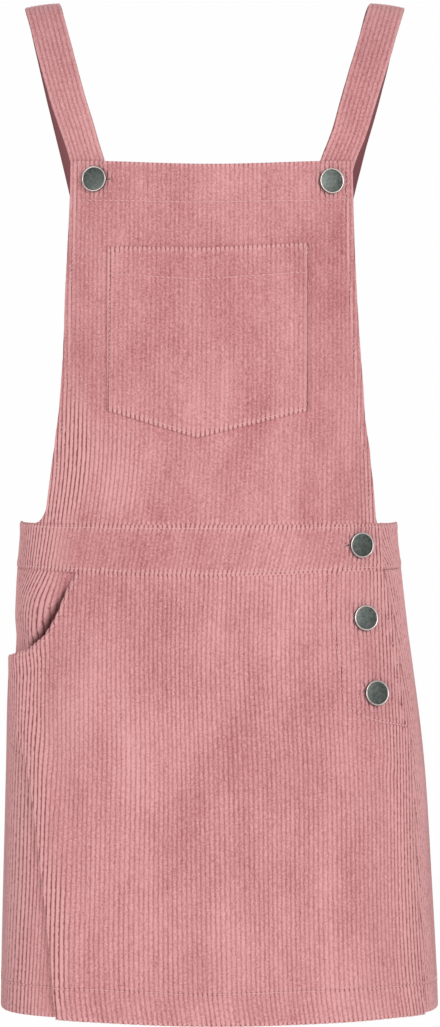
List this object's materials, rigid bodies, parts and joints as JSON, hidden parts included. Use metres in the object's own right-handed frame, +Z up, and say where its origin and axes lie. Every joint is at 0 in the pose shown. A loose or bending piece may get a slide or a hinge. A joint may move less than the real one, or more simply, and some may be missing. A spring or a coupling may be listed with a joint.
{
  "type": "pinafore dress",
  "caption": "Sleeveless bib-front pinafore dress in ribbed corduroy with shoulder straps, patch pocket, waistband and short flared skirt, in its worn shape.",
  "frame": {"origin": "midway between the two straps where they lie on the shoulders, level with their undersides", "axes": "+X to the right as seen from the front, -Y out of the front of the dress, +Z up"},
  "size_m": [0.3492, 0.2199, 0.806],
  "materials": {
    "corduroy": "brushed wide-wale cotton corduroy, dusty pink",
    "gunmetal": "dark gunmetal plating with a brighter rim",
    "thread": "matching polyester topstitching thread"
  },
  "bodies": {
    "root": {"bib_front": "corduroy", "bib_pocket": "corduroy", "waistband_front": "corduroy", "waistband_back": "corduroy", "skirt_front": "corduroy", "skirt_back": "corduroy", "hip_pocket_facing": "corduroy", "side_underlap": "corduroy", "strap_left": "corduroy", "strap_right": "corduroy", "button_bib_left": "gunmetal", "button_bib_right": "gunmetal", "button_waistband": "gunmetal", "button_placket_upper": "gunmetal", "button_placket_lower": "gunmetal"}
  },
  "joints": []
}
